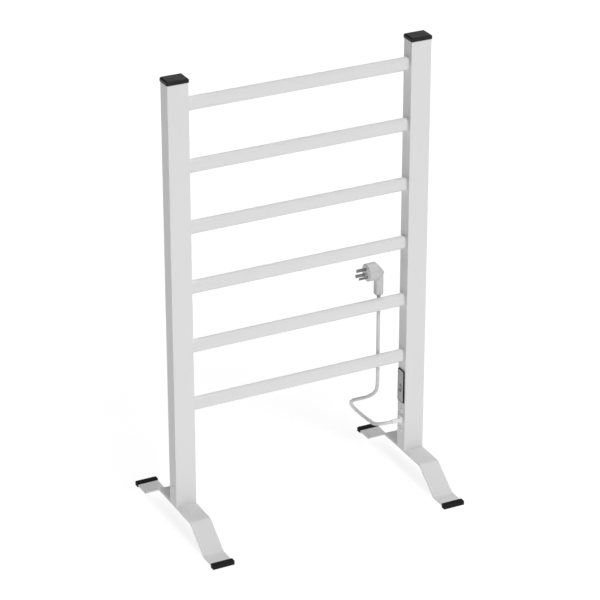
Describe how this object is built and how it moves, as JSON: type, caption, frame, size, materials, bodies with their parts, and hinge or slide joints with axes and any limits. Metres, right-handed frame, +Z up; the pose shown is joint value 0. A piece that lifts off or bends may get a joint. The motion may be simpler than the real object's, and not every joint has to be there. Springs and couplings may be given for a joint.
{
  "type": "towel warmer rack",
  "caption": "Free-standing electric towel warmer with two upright posts on bent feet, flat-oval heated rungs, a push-button panel and a mains lead.",
  "frame": {"origin": "on the floor, in the middle of the four foot caps", "axes": "+X along the rungs towards the post with the control panel, +Y to the back, +Z up"},
  "size_m": [0.5355, 0.358, 0.9058],
  "materials": {
    "white_paint": "gloss white powder coat",
    "black_plastic": "satin moulded",
    "black_rubber": "matt",
    "inner_nylon": "moulded",
    "screw_white": "white painted heads",
    "zinc_steel": "zinc plated",
    "brass": "brass",
    "panel_black": "gloss moulded",
    "panel_glass": "glossy grey-green",
    "button_grey": "satin",
    "component_black": "moulded",
    "board_green": "solder mask",
    "lamp_green": "translucent",
    "element_sheath": "silicone",
    "core_brown": "pvc",
    "core_blue": "pvc",
    "core_earth": "green and yellow pvc",
    "white_nylon": "moulded",
    "cord_sheath": "satin pvc",
    "plug_vinyl": "satin moulded",
    "plug_metal": "bare"
  },
  "bodies": {
    "rack": {"control_board": "board_green", "cord_clip_lower": "white_nylon", "cord_clip_upper": "white_nylon", "cord_gland": "white_nylon", "cord_tail": "cord_sheath", "earth_core": "core_earth", "earth_nut": "zinc_steel", "earth_stud": "zinc_steel", "earth_tag": "brass", "foot_bolts": "zinc_steel", "foot_cap_back_left": "black_rubber", "foot_cap_back_right": "black_rubber", "foot_cap_front_left": "black_rubber", "foot_cap_front_right": "black_rubber", "foot_insert_left": "inner_nylon", "foot_insert_right": "inner_nylon", "foot_left": "white_paint", "foot_right": "white_paint", "foot_washers": "zinc_steel", "gland_clip": "inner_nylon", "gland_plate": "zinc_steel", "gland_screw": "screw_white", "heating_element": "element_sheath", "indicator_lamp": "lamp_green", "lamp_lens": "lamp_green", "left_foot_screw": "screw_white", "live_core": "core_brown", "neutral_core": "core_blue", "panel_face": "panel_glass", "panel_housing": "panel_black", "plug_blades": "plug_metal", "plug_body": "plug_vinyl", "plug_face": "white_nylon", "post_cap_left": "black_plastic", "post_cap_right": "black_plastic", "post_left": "white_paint", "post_right": "white_paint", "power_cord": "cord_sheath", "power_switch": "component_black", "relay": "component_black", "right_foot_screw": "screw_white", "rung_1": "white_paint", "rung_2": "white_paint", "rung_3": "white_paint", "rung_4": "white_paint", "rung_5": "white_paint", "rung_6": "white_paint", "terminal_block": "inner_nylon", "terminal_screws": "brass", "thermal_cutout": "component_black", "timer_switch": "component_black"},
    "power_button_body": {"power_button": "button_grey", "power_plunger": "component_black"},
    "timer_button_body": {"timer_button": "button_grey", "timer_plunger": "component_black"}
  },
  "joints": [
    {"name": "power_press", "type": "slide", "parent": "rack", "child": "power_button_body", "axis": [1, 0, 0], "range_m": [0, 0.0007], "stiffness_N_per_m": 400},
    {"name": "timer_press", "type": "slide", "parent": "rack", "child": "timer_button_body", "axis": [1, 0, 0], "range_m": [0, 0.0007], "stiffness_N_per_m": 400}
  ]
}
